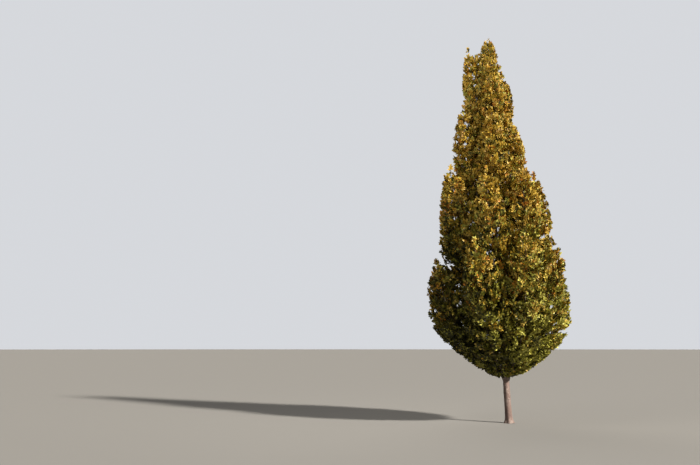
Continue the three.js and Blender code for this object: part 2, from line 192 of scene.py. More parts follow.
trunk_heights = [TRUNK_HEIGHT * (i / TRUNK_RINGS) ** RING_CROWDING for i in range(TRUNK_RINGS + 1)]
trunk = drawn_limb(
    "trunk_bark",
    [trunk_centre(height) for height in trunk_heights],
    [trunk_radius(height) for height in trunk_heights],
    TRUNK_SIDES,
)
for vertex in trunk.data.vertices:
    centre, outward, turn = from_centre(vertex)
    lobe = ROOT_LOBE_SHARE * math.exp(-vertex.co.z / ROOT_LOBE_HEIGHT)
    swell = lobe * math.cos(ROOT_LOBES * turn + ROOT_LOBE_TURN)
    swell += FLUTE_SHARE * math.sin(FLUTES * turn + vertex.co.z)
    vertex.co = centre + outward * (1 + swell)
smoothed(trunk, levels=2)
for vertex in trunk.data.vertices:
    _, outward, turn = from_centre(vertex)
    for height, bearing, half_height in SCARS:
        away = math.radians((math.degrees(turn) - bearing + 180) % 360 - 180)
        place = math.hypot(vertex.co.z - height, away * outward.length / SCAR_WIDTH) / half_height
        if place < SCAR_EDGE:
            rim = math.exp(-((place - SCAR_RIM) ** 2) / SCAR_SPREAD)
            dent = SCAR_DENT * math.exp(-(place**2) / SCAR_SPREAD)
            vertex.co += outward.normalized() * SCAR_RISE * (rim - dent)
roughened(trunk, lump_size=0.045, stretch=3.5, depth=0.006)
roughened(trunk, lump_size=0.014, stretch=0.6, depth=0.0018)
for vertex in trunk.data.vertices:
    if vertex.co.z < FOOT_CUT:
        vertex.co.z = 0
bpy.ops.object.shade_smooth_by_angle(angle=math.radians(50))


NODE_STEP = (200, -180)
BARK_GLOSS = 0.25
RELIEF_SHARE = 0.8
MARK_SHARE = 0.5


def set_inputs(node, inputs):
    """Gives each named input of a shader node its value, or links it to another node's output."""
    for name, value in inputs.items():
        if isinstance(value, bpy.types.NodeSocket):
            node.id_data.links.new(value, node.inputs[name])
        else:
            node.inputs[name].default_value = value


def add_node(tree, kind, place, inputs=(), **settings):
    """A shader node at a place in its tree, with its settings and its inputs."""
    node = tree.nodes.new(kind)
    node.location = (place[0] * NODE_STEP[0], place[1] * NODE_STEP[1])
    for name, value in settings.items():
        setattr(node, name, value)
    set_inputs(node, dict(inputs))
    return node


def bark_pattern():
    """The bark's pattern, as a group: a mottled colour with painted shade in its creases, a
    roughness and a height.
    """
    group = bpy.data.node_groups.new("bark_pattern", "ShaderNodeTree")
    for name, kind in dict(Bark="Color", Lichen="Color", MarksAndCreaseShade="Color", Fineness="Float").items():
        group.interface.new_socket(name, in_out="INPUT", socket_type="NodeSocket" + kind)
    for name, kind in dict(Colour="Color", Roughness="Float", Height="Float").items():
        group.interface.new_socket(name, in_out="OUTPUT", socket_type="NodeSocket" + kind)

    def add(kind, place, inputs=(), output=0, **settings):
        return add_node(group, "ShaderNode" + kind, place, inputs, **settings).outputs[output]

    def add_mask(place, value, start, end, most=1):
        levels = {"Value": value, "From Min": start, "From Max": end, "To Max": most}
        return add("MapRange", place, levels)

    def add_math(place, operation, first, second):
        return add("Math", place, {0: first, 1: second}, operation=operation)

    given = add_node(group, "NodeGroupInput", (0, 0)).outputs
    place = add("TexCoord", (0, 2), output="Object")
    finer = add("VectorMath", (1, 2), {0: place, "Scale": given["Fineness"]}, operation="SCALE")

    # Pale patches of lichen, larger than a hand.
    patches = add("TexNoise", (2, 0), dict(Vector=finer, Scale=5, Detail=5, Roughness=0.62))
    mask = add_mask((3, 0), patches, start=0.47, end=0.62)
    colours = dict(Factor=mask, A=given["Bark"], B=given["Lichen"])
    patched = add("Mix", (4, 0), colours, "Result", data_type="RGBA")

    # Faint creases that run round the limb, darkened with painted shade, and short dark pores.
    flat = add("Mapping", (2, 2), dict(Vector=finer, Scale=(1, 1, 3.6)))
    noise = dict(Vector=flat, Scale=17, Detail=6, Roughness=0.6, Distortion=1.3)
    creases = add("TexNoise", (3, 2), noise)
    crease_shade_mask = add_mask((4, 2), creases, start=0.52, end=0.36)
    pores = add("TexVoronoi", (3, 4), dict(Vector=flat, Scale=34), "Distance")
    pore_mask = add_mask((4, 4), pores, start=0.17, end=0.08)

    # Rain stains that run down the limb.
    upright = add("Mapping", (2, 6), dict(Vector=finer, Scale=(1, 1, 0.13)))
    stains = add("TexNoise", (3, 6), dict(Vector=upright, Scale=26, Detail=4))
    stain_mask = add_mask((4, 6), stains, start=0.5, end=0.68, most=0.8)
    # The dark colour goes on the pores and stains, and as painted shade into the creases.
    pores_and_crease_shade = add_math((5, 3), "MAXIMUM", crease_shade_mask, pore_mask)
    dark = add_math((5, 5), "MAXIMUM", pores_and_crease_shade, stain_mask)
    share = add_math((5, 4), "MULTIPLY", dark, MARK_SHARE)
    colours = dict(Factor=share, A=patched, B=given["MarksAndCreaseShade"])
    marked = add("Mix", (5, 0), colours, "Result", data_type="RGBA")

    # Lichen is duller than bark, and the pores are dents.
    dull = add("MapRange", (5, 1), {"Value": patches, "To Min": 0.68, "To Max": 0.95})
    raised = add_math((5, 2), "SUBTRACT", creases, pore_mask)
    add_node(group, "NodeGroupOutput", (6, 0), dict(Colour=marked, Roughness=dull, Height=raised))
    return group


def bark_material(name, bark, lichen, marks_and_crease_shade, fineness, relief):
    """Bark in its own colours, with painted shade in its creases, at its own scale, with a relief
    in metres.
    """
    material = bpy.data.materials.new(name)
    material.use_nodes = True
    tree = material.node_tree
    given = dict(Bark=(*bark, 1), Lichen=(*lichen, 1), MarksAndCreaseShade=(*marks_and_crease_shade, 1), Fineness=fineness)
    pattern = add_node(tree, "ShaderNodeGroup", (-3, 0), given, node_tree=BARK_PATTERN).outputs
    heights = dict(Height=pattern["Height"], Distance=relief, Strength=RELIEF_SHARE)
    finish = {
        "Base Color": pattern["Colour"],
        "Roughness": pattern["Roughness"],
        "Normal": add_node(tree, "ShaderNodeBump", (-1, 1), heights).outputs["Normal"],
        "Specular IOR Level": BARK_GLOSS,
    }
    set_inputs(tree.nodes["Principled BSDF"], finish)
    return material


BARK_PATTERN = bark_pattern()
TRUNK_BARK = bark_material(
    "trunk_bark",
    bark=(0.205, 0.142, 0.124),
    lichen=(0.31, 0.246, 0.222),
    # The dark colour of pores and stains, also laid into the creases as painted shade.
    marks_and_crease_shade=(0.07, 0.044, 0.036),
    fineness=1.0,
    relief=0.005,
)
trunk.data.materials.append(TRUNK_BARK)
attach(trunk, "root")
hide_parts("trunk")


# Boughs
# Four rings of limbs, and the trunk's own tip. Each leaves the trunk in a swollen collar, turns up
# and tapers on through its mass of leaves. Their bark is thinner and browner than the trunk's.
# RING_TABLE holds the numbers of the frame's own solids, in metres, degrees and shares.
RING_TABLE = dict(
    name=("low", "middle", "upper", "top"),
    count=(8, 7, 5, 4),
    turn=(22, 0, 128, 8),
    twigs=(8, 7, 7, 6),
    spray=(0.49, 0.455, 0.385, 0.32),
    fork_low=(0.82, 1.56, 3.25, 5.05),
    fork_high=(1.03, 2.26, 3.85, 5.6),
    fork_radius=(0.024, 0.022, 0.018, 0.014),
    end_radius=(0.013, 0.012, 0.011, 0.009),
    base_reach=(0.2, 0.38, 0.27, 0.17),
    base_height=(1.12, 2.76, 4.56, 6.22),
    elbow_reach=(1.14, 0.96, 0.5, 0.285),
    elbow_height=(1.53, 3.56, 5.25, 6.8),
    tip_reach=(1.34, 0.97, 0.54, 0.375),
    tip_height=(3.8, 5.45, 6.8, 8.08),
    radius=(0.52, 0.45, 0.39, 0.295),
    skew=(0.2, -0.11, -0.06, -0.39),
    push=(0.09, 0.1, 0.15, 0.12),
    stray=(0.34, 0.3, 0.38, 0.1),
    base_stray=(0.085, 0.075, 0.095, 0.025),
)
RINGS = [dict(zip(RING_TABLE, ring)) for ring in zip(*RING_TABLE.values())]
LEADER = dict(shift=0.05, height=8.655, radius=0.24, twigs=6, spray=0.27)
BOUGH_LEAVE_REACH = 0.55
BOUGH_LEAVE_RISE = 0.95
BOUGH_LEAVE_SHARE = 0.5
BOUGH_TURN = 0.28
BOUGH_STRAY_TURN = 14
BOUGH_SKIP = 3
THINNEST = 0.94
STOUTEST = 1.06


def random_from(seed):
    """A small generator of random numbers from 0 to 1, the same for the same seed."""
    state = seed

    def draw():
        nonlocal state
        state = (state * 1664525 + 1013904223) % 2**32
        return state / 2**32

    return draw


def on_curve(points, share):
    """A point on the Bezier curve of three or four points."""
    points = list(points)
    while len(points) > 1:
        points = [mix(a, b, share) for a, b in zip(points, points[1:])]
    return points[0]


def unit(vector):
    return vector / np.linalg.norm(vector)


def round_trunk(bearing, reach, height):
    """A point at a bearing and a reach from the trunk's centre line, at a height."""
    away = np.array([reach * math.cos(bearing), reach * math.sin(bearing), 0])
    return trunk_centre(height) + away


def plan_mass(ring, number, seed):
    """One bough's curve with its mass's curve and widths."""
    draw = random_from(seed)
    draw()
    stray = (draw() - 0.5) * BOUGH_STRAY_TURN
    bearing = math.radians(ring["turn"] + 360 * number / ring["count"] + stray)
    fork_share = number * BOUGH_SKIP % ring["count"] / (ring["count"] - 1)
    fork = mix(ring["fork_low"], ring["fork_high"], fork_share)
    side = math.cos(bearing)
    push = 1 - ring["push"] * side
    tip_height = ring["tip_height"] + ring["skew"] * side + (draw() - 0.5) * ring["stray"]
    rise = (draw() - 0.5) * ring["base_stray"]
    base = round_trunk(bearing, ring["base_reach"], ring["base_height"] + rise)
    elbow = round_trunk(bearing, ring["elbow_reach"] * push, ring["elbow_height"] + rise)
    tip = round_trunk(bearing, ring["tip_reach"] * push, tip_height)
    start = trunk_centre(fork)
    leave = min(BOUGH_LEAVE_RISE * ring["base_reach"], BOUGH_LEAVE_SHARE * (base[2] - fork))
    bend = round_trunk(bearing, BOUGH_LEAVE_REACH * ring["base_reach"], fork + leave)
    turn = base - unit(elbow - base) * BOUGH_TURN * np.linalg.norm(base - start)
    return dict(
        ring,
        name=f"{ring['name']}_{number + 1}",
        ring=ring["name"],
        bough=[start, bend, turn, base],
        stem=[base, elbow, tip],
        radius=ring["radius"] * mix(THINNEST, STOUTEST, draw()),
        seed=seed,
    )


def plan_leader(seed):
    """The mass on the trunk's own tip."""
    base = trunk_centre(TRUNK_HEIGHT)
    tip = trunk_centre(LEADER["height"]) + np.array([LEADER["shift"], 0, 0])
    return dict(
        LEADER,
        name="leader",
        ring="top",
        bough=None,
        stem=[base, (base + tip) / 2, tip],
        end_radius=TIP_RADIUS,
        seed=seed,
    )


masses = [
    plan_mass(ring, number, 100 * (k + 1) + number)
    for k, ring in enumerate(RINGS)
    for number in range(ring["count"])
]
masses.append(plan_leader(500))

BOUGH_SIDES = 10
COLLAR_SWELL = 0.55
COLLAR_LENGTH = 0.05
STEM_END = 0.97
STEM_TAPER_POWER = 1.5
TWIG_END = 0.0028
BOUGH_RINGS = 12
STEM_RINGS = 16
BOUGH_BARK = bark_material(
    "bough_bark",
    bark=(0.2, 0.15, 0.115),
    lichen=(0.27, 0.24, 0.2),
    # The dark colour of pores and stains, also laid into the creases as painted shade.
    marks_and_crease_shade=(0.09, 0.06, 0.045),
    fineness=1.8,
    relief=0.002,
)


def limb_line(mass):
    """A bough's centres and radii, from the trunk's middle to the stem's tip."""
    centres = []
    radii = []
    if mass["bough"]:
        for i in range(BOUGH_RINGS):
            share = i / BOUGH_RINGS
            centres.append(on_curve(mass["bough"], share))
            from_trunk = np.linalg.norm(centres[-1] - centres[0]) - trunk_radius(centres[-1][2])
            collar = 1 + COLLAR_SWELL * math.exp(-max(from_trunk, 0) / COLLAR_LENGTH)
            radii.append(mix(mass["fork_radius"], mass["end_radius"], share) * collar)
    for i in range(STEM_RINGS + 1):
        share = i / STEM_RINGS
        centres.append(on_curve(mass["stem"], STEM_END * share))
        radii.append(mix(mass["end_radius"], TWIG_END, share**STEM_TAPER_POWER))
    return centres, radii


for mass in masses:
    bough = drawn_limb("bough_" + mass["name"] + "_bark", *limb_line(mass), BOUGH_SIDES)
    smoothed(bough, levels=1)
    roughened(bough, lump_size=0.03, stretch=2.5, depth=0.003)
    bpy.ops.object.shade_smooth()
    bough.data.materials.append(BOUGH_BARK)
    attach(bough, "root")
    if mass["bough"]:
        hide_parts("bough_" + mass["name"])


# First twigs and sprays
# A spray is a twig's end with all its leaves. These are the frame's own, grown by the same rule:
# each mass is a flame round its stem, and keeps to the points nearer to its axis than to any other.
AXIS_STEPS = 7
FLAME_FOOT = 0.7
FLAME_SWELL = 1.75
FLAME_TIP_POWER = 0.7
FLAME_TIP_RADIUS = 0.072
TIP_SLOPE = 6
BOWL_BOTTOM = 0.935
BOWL_RISE = 0.56
BOWL_POWER = 1.5
SPACE_MARGIN = 0.045
LIMB_MARGIN = 0.003
TRUNK_STEPS = 15
BOUGH_STEPS = 8
LIMB_STEP = 0.02
PIECE_STEP = 0.015
REACH_STEP = 0.02


def curve_points(curve, steps):
    return [on_curve(curve, i / steps) for i in range(steps + 1)]


def to_pieces(points, starts, steps):
    """How far points are from straight pieces, and how far along each its nearest place is."""
    gaps = points[..., None, :] - starts
    along = np.clip((gaps * steps).sum(-1) / (steps**2).sum(-1), 0, 1)
    return np.linalg.norm(gaps - along[..., None] * steps, axis=-1), along


axes = np.array([curve_points(mass["stem"], AXIS_STEPS) for mass in masses])
flame_radii = np.array([mass["radius"] for mass in masses])


def depths(points, tip_radius, bluntness):
    """How deep points lie in each flame: 0 on its axis and 1 on its skin, a row for each point."""
    distances, along = to_pieces(points[:, None], axes[:, :-1], np.diff(axes, axis=1))
    nearest = distances.argmin(-1)[..., None]
    share = (nearest + np.take_along_axis(along, nearest, -1))[..., 0] / AXIS_STEPS
    shape = (1 - share) ** FLAME_TIP_POWER * (FLAME_FOOT + FLAME_SWELL * share)
    least = tip_radius * np.minimum(bluntness + TIP_SLOPE * (1 - share), 1)
    radius = np.maximum(flame_radii * shape, least)
    return np.take_along_axis(distances, nearest, -1)[..., 0] / radius


def above_bowl(points, drop):
    """True for points above the crown's underside, or at most a drop below it."""
    middles = np.array([trunk_centre(height) for height in points[:, 2]])
    reach = np.hypot(points[:, 0] - middles[:, 0], points[:, 1] - middles[:, 1])
    return points[:, 2] >= BOWL_BOTTOM - drop + BOWL_RISE * reach**BOWL_POWER


def in_space(
    k, points, skin=1.0, margin=SPACE_MARGIN, tip_radius=FLAME_TIP_RADIUS,
    bluntness=1, cleft=0, drop=0,
):
    """True for points in the space of mass k, or in the cleft between it and the next mass."""
    deep = depths(points, tip_radius, bluntness)
    own = deep[:, k].copy()
    deep[:, k] = np.inf
    nearest = deep.min(-1)
    inside = (own <= skin) | (own + nearest <= cleft)
    return above_bowl(points, drop) & inside & (nearest > own + margin)


trunk_line = [trunk_centre(TRUNK_HEIGHT * i / TRUNK_STEPS) for i in range(TRUNK_STEPS + 1)]
limb_lines = [(trunk_line, None)]
limb_lines += [(curve_points(mass["bough"], BOUGH_STEPS), mass) for mass in masses if mass["bough"]]


def limb_radius(mass, share):
    """The radius of a bough, or of the trunk where the mass is None."""
    if mass is None:
        return trunk_radius(TRUNK_HEIGHT * share)
    return mix(mass["fork_radius"], mass["end_radius"], share)


def line_points(line, mass):
    """A limb's line as points close together, with a radius each."""
    line = np.array(line)
    steps = np.linalg.norm(line[1:] - line[:-1], axis=1)
    places = np.concatenate([[0], steps.cumsum()])
    count = math.ceil(places[-1] / LIMB_STEP)
    shares = np.arange(count + 1) / count
    points = np.stack([np.interp(shares * places[-1], places, axis) for axis in line.T], axis=1)
    return points, np.array([limb_radius(mass, share) for share in shares])


limb_parts = [line_points(line, mass) for line, mass in limb_lines]
limb_points = np.concatenate([points for points, _ in limb_parts])
limb_radii = np.concatenate([radii for _, radii in limb_parts])
line_starts = np.concatenate([np.array(line)[:-1] for line, _ in limb_lines])
line_steps = np.concatenate([np.diff(np.array(line), axis=0) for line, _ in limb_lines])
line_owners = [(mass, i, len(line) - 1) for line, mass in limb_lines for i in range(len(line) - 1)]


def clear_of_limbs(start, end, half_width):
    """True if a straight piece of a half width stays off every limb."""
    count = math.ceil(np.linalg.norm(end - start) / PIECE_STEP)
    points = np.array([mix(start, end, i / count) for i in range(count + 1)])
    distances, along = to_pieces(points, line_starts, line_steps)
    close = np.argwhere(distances < FOOT_RADIUS + half_width + LIMB_MARGIN)
    for i, j in close:
        mass, step, steps = line_owners[j]
        radius = limb_radius(mass, (step + along[i, j]) / steps)
        if distances[i, j] < radius + half_width + LIMB_MARGIN:
            return False
    return True


def reach_in(k, start, direction, longest, **space):
    """How far a straight line can go before it leaves the space of mass k."""
    reaches = np.arange(1, round(longest / REACH_STEP) + 1) * REACH_STEP
    inside = in_space(k, start + reaches[:, None] * direction, **space)
    if inside.all():
        return longest
    return inside.argmin() * REACH_STEP


STEM_STEPS = 5
STEM_TIP = 0.007
TWIG_RADIUS_SHARE = 0.45
TWIG_LEAST_RADIUS = 0.0035
TWIG_END_SHARE = 0.6
TWIG_FIRST = 0.02
TWIG_LAST = 0.93
TWIG_FORK = 137.5
TWIG_START = 0.25
TWIG_STRAY = 0.5
# How twigs turn round a stem and rise, and how sprays fan out and roll on a twig, in degrees.
# The lift is a weight that turns the sprays from their twig's way to the stem's.
TWIG_RULE = dict(
    spread=260, stray_turn=29, rise_low=4, rise_high=50, stray_rise=16,
    lift=1.4, fan=98, stray_fan=30, roll=90,
)
LIFT_LOSS = 0.5
TWIG_REACH_SHARE = 0.62
TWIG_LEAST_REACH = 0.09
TWIG_LONGEST = 0.64
SPRAY_WIDTH = 0.85
SPRAY_WIDEST = 0.5
SPRAY_THICK = 0.03
SPRAY_CUP = 0.07
SPRAY_LEAST = 0.6
SPRAY_SHRINK = 0.9
SPRAY_TOP_SHARE = 0.72
SPRAY_PLACES = [0.98, 0.74, 0.5, 0.3]
SPRAY_SHORTEST = 0.85
SPRAY_LONGEST = 1.1
SPRAY_APART = 0.32
SPRAY_BENDS = [0, 0.35, 0.7, 1]
TIP_SIZE = 0.7
TIP_LEAST = 0.4
TIP_ROLL = 46
TIP_SPREAD = 0.9
TIP_PLACE = 0.94
TIP_STAGGER = 0.03
CLEARANCE = 0.0003
LEAST_SLOPE = 1e-15


def along_curve(points, share):
    """The direction of a Bezier curve."""
    return unit(on_curve([b - a for a, b in zip(points, points[1:])], share))


def turned(vector, axis, angle):
    """A vector turned about a unit axis."""
    cosine = math.cos(angle)
    across = np.cross(axis, vector) * math.sin(angle)
    return vector * cosine + across + axis * axis.dot(vector) * (1 - cosine)


def spray_at(root, direction, face, length, width=SPRAY_WIDTH):
    """A spray's corners, its rim and midrib as lines, and its four faces."""
    across = unit(np.cross(direction, face))
    half = 0.5 * length * width
    waist = root + direction * length * SPRAY_WIDEST
    tip = root + direction * length
    left = waist - across * half
    right = waist + across * half
    front = waist + face * length * (SPRAY_CUP + SPRAY_THICK / 2)
    rim = [(root, right), (right, tip), (tip, left), (left, root)]
    return dict(
        root=root, tip=tip, left=left, right=right, front=front,
        direction=direction, across=across, face=face, length=length, width=width,
        edges=np.array([*rim, (root, tip)]),
        faces=np.array([(front, a, b) for a, b in rim]),
        span=max(np.linalg.norm(front - root), np.linalg.norm(front - tip)),
    )


def crossing(lines, faces):
    """True if a line of the first list passes through a face of the second."""
    starts = lines[:, None, 0]
    ways = lines[:, None, 1] - starts
    corner = faces[None, :, 0]
    side_a = faces[None, :, 1] - corner
    side_b = faces[None, :, 2] - corner
    cross = np.cross(ways, side_b)
    slope = (cross * side_a).sum(-1)
    slope = np.where(abs(slope) < LEAST_SLOPE, np.inf, slope)
    gap = starts - corner
    u = (gap * cross).sum(-1) / slope
    turn = np.cross(gap, side_a)
    v = (ways * turn).sum(-1) / slope
    share = (side_b * turn).sum(-1) / slope
    return bool(((u >= 0) & (v >= 0) & (u + v <= 1) & (share >= 0) & (share < 1)).any())


def face_distances(points, face):
    """How far points are from a triangle."""
    corner, a, b = face
    normal = unit(np.cross(a - corner, b - corner))
    flat = points - ((points - corner) @ normal)[:, None] * normal
    inside = np.ones(len(points), bool)
    nearest = np.full(len(points), np.inf)
    for start, end in [(corner, a), (a, b), (b, corner)]:
        edge = end - start
        inside &= np.cross(edge, flat - start) @ normal >= 0
        along = np.clip((points - start) @ edge / edge.dot(edge), 0, 1)
        away = points - start - along[:, None] * edge
        nearest = np.minimum(nearest, np.linalg.norm(away, axis=1))
    return np.where(inside, abs((points - corner) @ normal), nearest)


def off_limbs(spray):
    """True if a spray's faces stay off every limb."""
    least = limb_radii + LIMB_MARGIN
    near = np.linalg.norm(limb_points - spray["front"], axis=1) <= spray["span"] + least
    points = limb_points[near]
    return not near.any() or all(
        (face_distances(points, face) >= least[near]).all() for face in spray["faces"]
    )


def spray_fits(k, spray):
    tests = [spray[name] for name in ("tip", "left", "right", "front")]
    tests += [(a + b) / 2 for a, b in spray["edges"][:4]]
    return in_space(k, np.array(tests)).all() and off_limbs(spray)


def stands_apart(k, spray, sprays, pieces):
    """True if a spray stands off the mass's other sprays, and crosses none of them and no twig."""
    for other in sprays:
        distance = np.linalg.norm(other["front"] - spray["front"])
        if distance < masses[k]["spray"] * SPRAY_APART:
            return False
        if distance > spray["span"] + other["span"]:
            continue
        if crossing(spray["edges"], other["faces"]) or crossing(other["edges"], spray["faces"]):
            return False
    return not (pieces and crossing(np.array(pieces), spray["faces"]))


def fitted_spray(k, root, pointing, along, radial, roll, longest, least, sprays, pieces):
    """The largest spray that fits at a place, bent as little as it can be."""
    size = longest
    while size >= least:
        for bend in SPRAY_BENDS:
            direction = unit(mix(pointing, along, bend))
            face = unit(radial - direction * radial.dot(direction))
            spray = spray_at(root, direction, turned(face, direction, roll), size)
            if spray_fits(k, spray) and stands_apart(k, spray, sprays, pieces):
                return spray
        size *= SPRAY_SHRINK
    return None


def outward_at(mass, point, along):
    """The direction away from the trunk, square to a stem."""
    outward = np.array([1.0, 0, 0])
    if mass["bough"]:
        outward = point - trunk_centre(point[2])
        outward[2] = 0
    return unit(outward - along * outward.dot(along))


def twig_ways(mass, i, share, start, along, rule, draw):
    """The way out from a stem at its next twig, the twig's way, and its sprays' steeper way."""
    bearing = (i * TWIG_FORK / 360 % 1 - 0.5) * rule["spread"] + (draw() - 0.5) * rule["stray_turn"]
    radial = turned(outward_at(mass, start, along), along, math.radians(bearing))
    rise = mix(rule["rise_low"], rule["rise_high"], share) + (draw() - 0.5) * rule["stray_rise"]
    rise = math.radians(rise)
    direction = radial * math.cos(rise) + along * math.sin(rise)
    upward = along * rule["lift"] + direction * (1 - LIFT_LOSS * rule["lift"])
    return radial, direction, upward


def spray_ways(number, upward, radial, rule, fan, roll):
    """Which way a twig's next spray points, first on, then left and right in turn, and its roll."""
    side = 0 if number == 0 else (1 if number % 2 == 0 else -1)
    turn = math.radians(side * rule["fan"] + (fan - 0.5) * rule["stray_fan"])
    return unit(turned(upward, radial, turn)), math.radians((roll - 0.5) * rule["roll"])


def grow_mass(k):
    """The sprays and twigs of mass k, by the rule that shaped the frame's solid."""
    mass = masses[k]
    stem = mass["stem"]
    draw = random_from(mass["seed"] * 7 + 1)
    first = CLEARANCE / (2 * np.linalg.norm(stem[1] - stem[0]))
    rings = [on_curve(stem, mix(first, STEM_END, i / STEM_STEPS)) for i in range(STEM_STEPS + 1)]
    pieces = list(zip(rings, rings[1:]))
    rule = TWIG_RULE if mass["bough"] else dict(TWIG_RULE, spread=360)
    twigs = []

    def point_on(share):
        piece = min(int(share * STEM_STEPS), STEM_STEPS - 1)
        return mix(rings[piece], rings[piece + 1], share * STEM_STEPS - piece)

    top = along_curve(stem, 1)
    facing = outward_at(mass, rings[-1], top)
    size = mass["spray"] * TIP_SIZE

    def fitted_at_tip(root, pointing, sprays):
        roll = math.radians(TIP_ROLL)
        least = size * TIP_LEAST
        return fitted_spray(k, root, pointing, pointing, facing, roll, size, least, sprays, [])

    sprays = [fitted_at_tip(rings[-1], top, [])]
    for side in (-1, 1):
        across = np.cross(top, facing) * side * TIP_SPREAD
        beside = fitted_at_tip(point_on(TIP_PLACE - TIP_STAGGER * side), unit(across + top), sprays)
        if beside:
            sprays.append(beside)

    for i in range(mass["twigs"]):
        place = i + TWIG_START + TWIG_STRAY * draw()
        share = mix(TWIG_FIRST, TWIG_LAST, place / mass["twigs"])
        start = point_on(share)
        along = along_curve(stem, mix(first, STEM_END, share))
        radial, direction, upward = twig_ways(mass, i, share, start, along, rule, draw)
        draws = [(draw(), draw()) for _ in SPRAY_PLACES]
        length = reach_in(k, start, direction, TWIG_LONGEST) * TWIG_REACH_SHARE
        reached = start + direction * length
        radius = mix(mass["end_radius"], STEM_TIP, share) * TWIG_RADIUS_SHARE
        radius = max(radius, TWIG_LEAST_RADIUS)
        if length < TWIG_LEAST_REACH or not clear_of_limbs(start, reached, radius):
            continue
        if any(crossing(np.array([(start, reached)]), other["faces"]) for other in sprays):
            continue
        whole = mass["spray"] * mix(1, SPRAY_TOP_SHARE, share**2)
        least = whole * SPRAY_LEAST
        own = []
        for number, place in enumerate(SPRAY_PLACES):
            root = mix(start, reached, place)
            pointing, roll = spray_ways(number, upward, radial, rule, *draws[number])
            longest = whole * mix(SPRAY_SHORTEST, SPRAY_LONGEST, draws[number][0])
            others = sprays + own
            spray = fitted_spray(
                k, root, pointing, along, radial, roll, longest, least, others, pieces
            )
            if spray:
                own.append(spray)
        if not own:
            continue
        pieces.append((start, own[0]["root"]))
        twigs.append((start, own[0]["root"], radius, radius * TWIG_END_SHARE))
        sprays.extend(own)
    return sprays, twigs


grown = [grow_mass(k) for k in range(len(masses))]


# Finer twigs
# Between the first twigs many finer ones fill each mass, by the same golden angle. They leave the
# bough and the stem all along, run out to the mass's skin, and end in small sprays.
FINE_FIRST = 0.08
FINE_LAST = 0.98
PATH_STEPS = 30
FINE_PER_METRE = dict(low=24, middle=25, upper=29, top=36)
FINE_RULE = dict(
    spread=330, stray_turn=40, rise_low=0, rise_high=55, stray_rise=34,
    lift=1.15, fan=50, stray_fan=40, roll=120,
)
FINE_REACH_SHARE = 0.86
FINE_LEAST_REACH = 0.04
FINE_PLACES = (1, 0.74, 0.5)
FINE_SPRAY_SHARE = 0.6
FINE_SPRAY_WIDTH = 0.5
FINE_SIZES = (1, 0.8, 0.62, 0.45)
# Where the fine sprays may be: a little into the next mass, and round a fuller tip.
FINE_SPACE = dict(margin=-0.05, tip_radius=0.1, bluntness=0.3, drop=0.01)
SKINS = dict(low=0.95, middle=0.98, upper=0.95, top=0.97)
SKIN_STRAY = 0.15
CLEFTS = dict(low=2.8, middle=2.8, upper=2.2, top=2.5, leader=4.4)
FINE_RADIUS = 0.0032
FINE_END_RADIUS = 0.0018


def cleft_of(mass):
    """How far a mass reaches into the clefts beside it. The leader fills those at the top."""
    return CLEFTS.get(mass["name"], CLEFTS[mass["ring"]])


def limb_path(mass):
    """A mass's bough and stem as points, with the direction at each."""
    curves = [(mass["stem"], 0, STEM_END)]
    if mass["bough"]:
        curves.insert(0, (mass["bough"], FINE_FIRST, FINE_LAST))
    steps = [
        (on_curve(curve, share), along_curve(curve, share))
        for curve, first, last in curves
        for share in np.linspace(first, last, PATH_STEPS)
    ]
    return [np.array(column) for column in zip(*steps)]


def grow_finer(k):
    """The small sprays of mass k, and its finer twigs, each with two ends and two radii."""
    mass = masses[k]
    chance = np.random.default_rng(mass["seed"])
    points, ways = limb_path(mass)
    places = np.concatenate([[0], np.linalg.norm(np.diff(points, axis=0), axis=1).cumsum()])
    count = round(places[-1] * FINE_PER_METRE[mass["ring"]])
    twigs = []
    sprays = []
    for i in range(count):
        share = (i + chance.random()) / count
        step = int(np.searchsorted(places, share * places[-1]).clip(1, len(points) - 1))
        part = (share * places[-1] - places[step - 1]) / (places[step] - places[step - 1])
        start = mix(points[step - 1], points[step], part)
        radial, direction, upward = twig_ways(
            mass, i, share, start, ways[step], FINE_RULE, chance.random
        )
        space = dict(FINE_SPACE, cleft=cleft_of(mass))
        space["skin"] = SKINS[mass["ring"]] - SKIN_STRAY * chance.random()
        reach = reach_in(k, start, direction, TWIG_LONGEST, **space) * FINE_REACH_SHARE
        if reach < FINE_LEAST_REACH:
            continue
        reached = start + direction * reach
        own = []
        for number, place in enumerate(FINE_PLACES):
            draws = [chance.random() for _ in range(2)]
            pointing, roll = spray_ways(number, upward, radial, FINE_RULE, *draws)
            face = turned(unit(radial - pointing * radial.dot(pointing)), pointing, roll)
            root = mix(start, reached, place)
            for size in FINE_SIZES:
                length = size * FINE_SPRAY_SHARE * mass["spray"]
                spray = spray_at(root, pointing, face, length, FINE_SPRAY_WIDTH)
                if in_space(k, np.array([spray["tip"], spray["front"]]), **space).all():
                    own.append(spray)
                    break
        if own:
            twigs.append((start, own[0]["root"], FINE_RADIUS, FINE_END_RADIUS))
            sprays.extend(own)
    return sprays, twigs


finer = [grow_finer(k) for k in range(len(masses))]


